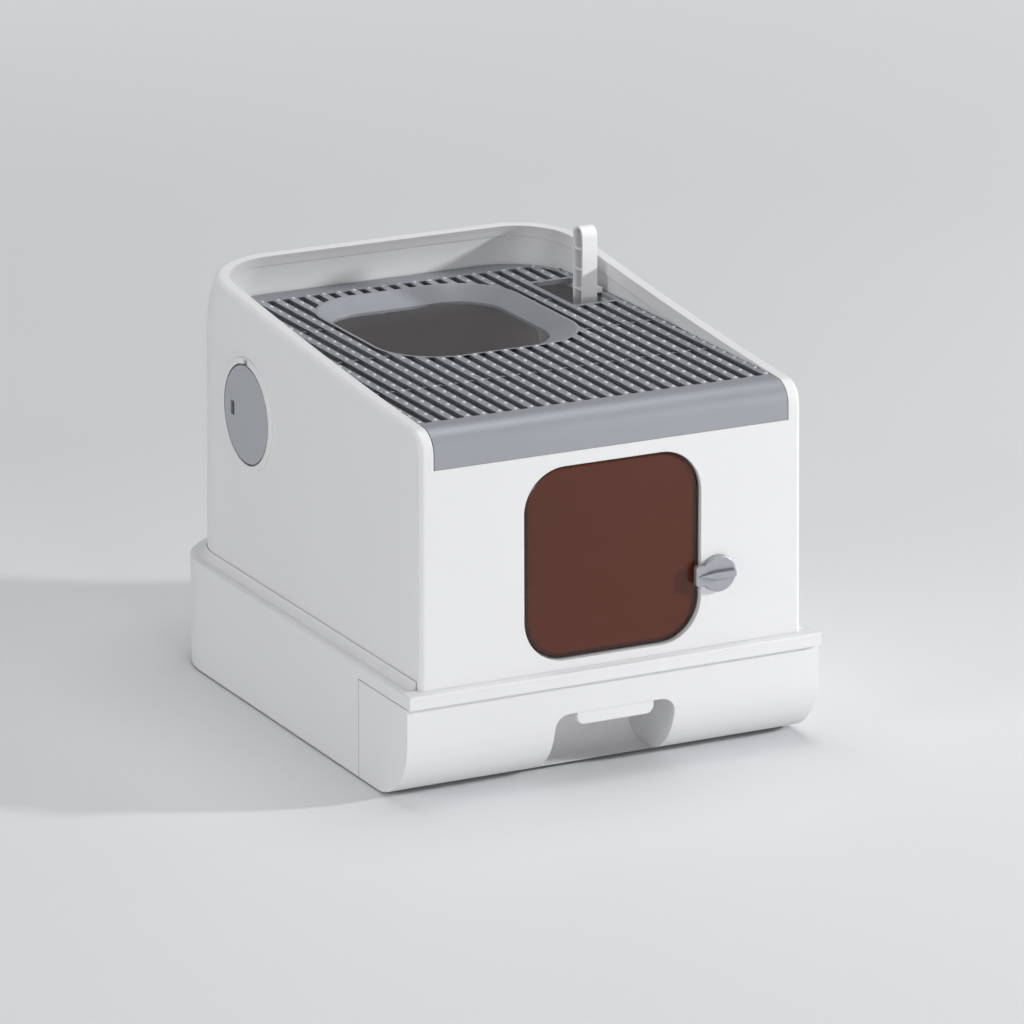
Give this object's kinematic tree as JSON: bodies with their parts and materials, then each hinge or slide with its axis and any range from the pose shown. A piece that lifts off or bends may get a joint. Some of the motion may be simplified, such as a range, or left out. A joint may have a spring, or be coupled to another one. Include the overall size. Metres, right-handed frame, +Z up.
{
  "type": "covered litter box",
  "caption": "Covered cat litter box with a pull-out drawer, hinged smoked door, slotted top with a sunken entry hole, side filter port and a standing scoop.",
  "frame": {"origin": "on the floor, under the middle of the box", "axes": "+X to the right seen from the front, +Y from the front to the back, +Z up"},
  "size_m": [0.43, 0.55, 0.421],
  "materials": {
    "white_plastic": "white satin plastic",
    "scoop_plastic": "white satin plastic",
    "tray_plastic": "off-white plastic",
    "panel_plastic": "mid grey satin plastic",
    "grey_plastic": "light grey satin plastic",
    "smoked_pane": "dark brown see-through plastic",
    "inner_plastic": "grey plastic",
    "steel": "plain steel",
    "foot_rubber": "dark rubber",
    "carbon_felt": "black carbon felt"
  },
  "bodies": {
    "base": {"base_shell": "white_plastic", "foot_front_left": "foot_rubber", "foot_front_right": "foot_rubber", "foot_rear_left": "foot_rubber", "foot_rear_right": "foot_rubber"},
    "drawer": {"drawer_front": "white_plastic", "drawer_pull": "white_plastic", "drawer_tray": "tray_plastic", "drawer_screws": "steel", "drawer_skid_left": "inner_plastic", "drawer_skid_right": "inner_plastic"},
    "hood": {"hood_shell": "white_plastic", "door_rod": "steel", "door_bracket_left": "inner_plastic", "door_bracket_right": "inner_plastic", "bracket_screws": "steel", "filter_cup": "inner_plastic", "filter_screws": "steel", "filter_pad": "carbon_felt"},
    "panel": {"top_panel": "panel_plastic"},
    "scoop": {"scoop": "scoop_plastic"},
    "door": {"door_flap": "smoked_pane"},
    "latch": {"latch_knob": "grey_plastic", "latch_washer": "steel", "latch_screw": "steel"},
    "cover": {"filter_cover": "grey_plastic"}
  },
  "joints": [
    {"name": "drawer_slide", "type": "slide", "parent": "base", "child": "drawer", "axis": [0, -1, 0], "range_m": [0, 0.4]},
    {"name": "hood_lift", "type": "slide", "parent": "base", "child": "hood", "axis": [0, 0, 1], "range_m": [0, 0.2]},
    {"name": "panel_lift", "type": "slide", "parent": "hood", "child": "panel", "axis": [0, -0.5736, 0.8192], "range_m": [0, 0.12]},
    {"name": "scoop_lift", "type": "slide", "parent": "panel", "child": "scoop", "axis": [0, 0, 1], "range_m": [0, 0.26]},
    {"name": "door_swing", "type": "hinge", "parent": "hood", "child": "door", "pos_m": [0, -0.245, 0.309], "axis": [1, 0, 0], "range_deg": [0, 80]},
    {"name": "latch_turn", "type": "hinge", "parent": "hood", "child": "latch", "pos_m": [0.1089, -0.2634, 0.181], "axis": [0, 1, 0], "range_deg": [0, 90]},
    {"name": "cover_twist", "type": "hinge", "parent": "hood", "child": "cover", "pos_m": [-0.1975, 0.1075, 0.278], "axis": [1, 0, 0], "range_deg": [0, 45]}
  ]
}
